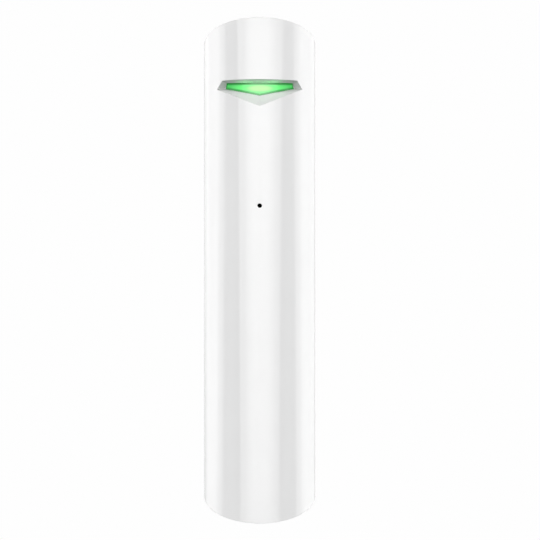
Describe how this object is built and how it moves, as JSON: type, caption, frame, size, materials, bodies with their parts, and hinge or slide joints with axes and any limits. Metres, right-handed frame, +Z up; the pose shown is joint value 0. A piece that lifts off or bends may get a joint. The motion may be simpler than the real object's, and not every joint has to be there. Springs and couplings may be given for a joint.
{
  "type": "glass break sensor",
  "caption": "Slim upright white sensor bar with a half-round front, slanted ends, a recessed green indicator lens, a small sound hole and a slide-on wall bracket.",
  "frame": {"origin": "centre of the bracket's back face, on the wall plane, at the middle of the bar's height", "axes": "+X to the right as seen from the front, +Y into the wall, +Z up along the bar; the front faces -Y"},
  "size_m": [0.02, 0.021, 0.09],
  "materials": {
    "housing_white": "moulded glossy white",
    "cover_white": "moulded fine matt white",
    "bracket_white": "moulded matt white",
    "lens_green": "clear moulded guide lit green from behind",
    "board_green": "solder mask over glass laminate",
    "steel": "nickel plated steel",
    "tin": "tinned sheet",
    "brass_strip": "stamped brass",
    "cell_sleeve": "shrunk sleeve",
    "can_aluminium": "drawn can",
    "boot_rubber": "moulded rubber",
    "black_plastic": "moulded black",
    "led_white": "moulded case",
    "terminal_green": "moulded block",
    "button_grey": "moulded button"
  },
  "bodies": {
    "bracket": {"wall_bracket": "bracket_white"},
    "detector": {"front_housing": "housing_white", "rear_cover": "cover_white", "light_guide": "lens_green", "circuit_board": "board_green", "board_screws": "steel", "indicator_led": "led_white", "microphone_capsule": "can_aluminium", "microphone_boot": "boot_rubber", "lithium_cell": "cell_sleeve", "positive_contact": "steel", "negative_contact": "steel", "tamper_switch_body": "black_plastic", "power_switch_body": "black_plastic", "terminal_block": "terminal_green", "terminal_screws": "steel", "radio_shield": "tin", "main_antenna": "brass_strip", "second_antenna": "brass_strip", "processor_chip": "black_plastic", "amplifier_chip": "black_plastic", "quartz_crystal": "tin", "smoothing_capacitor": "can_aluminium"},
    "tamper_button": {"tamper_plunger": "button_grey"},
    "power_button": {"power_plunger": "button_grey"}
  },
  "joints": [
    {"name": "bar_slide", "type": "slide", "parent": "bracket", "child": "detector", "axis": [0, 0, 1], "range_m": [0, 0.0046]},
    {"name": "tamper_press", "type": "slide", "parent": "detector", "child": "tamper_button", "axis": [0, -1, 0], "range_m": [0, 0.0004], "stiffness_N_per_m": 400, "springref_m": -0.0005},
    {"name": "power_press", "type": "slide", "parent": "detector", "child": "power_button", "axis": [0, -1, 0], "range_m": [0, 0.0004], "stiffness_N_per_m": 400, "springref_m": -0.0005}
  ]
}
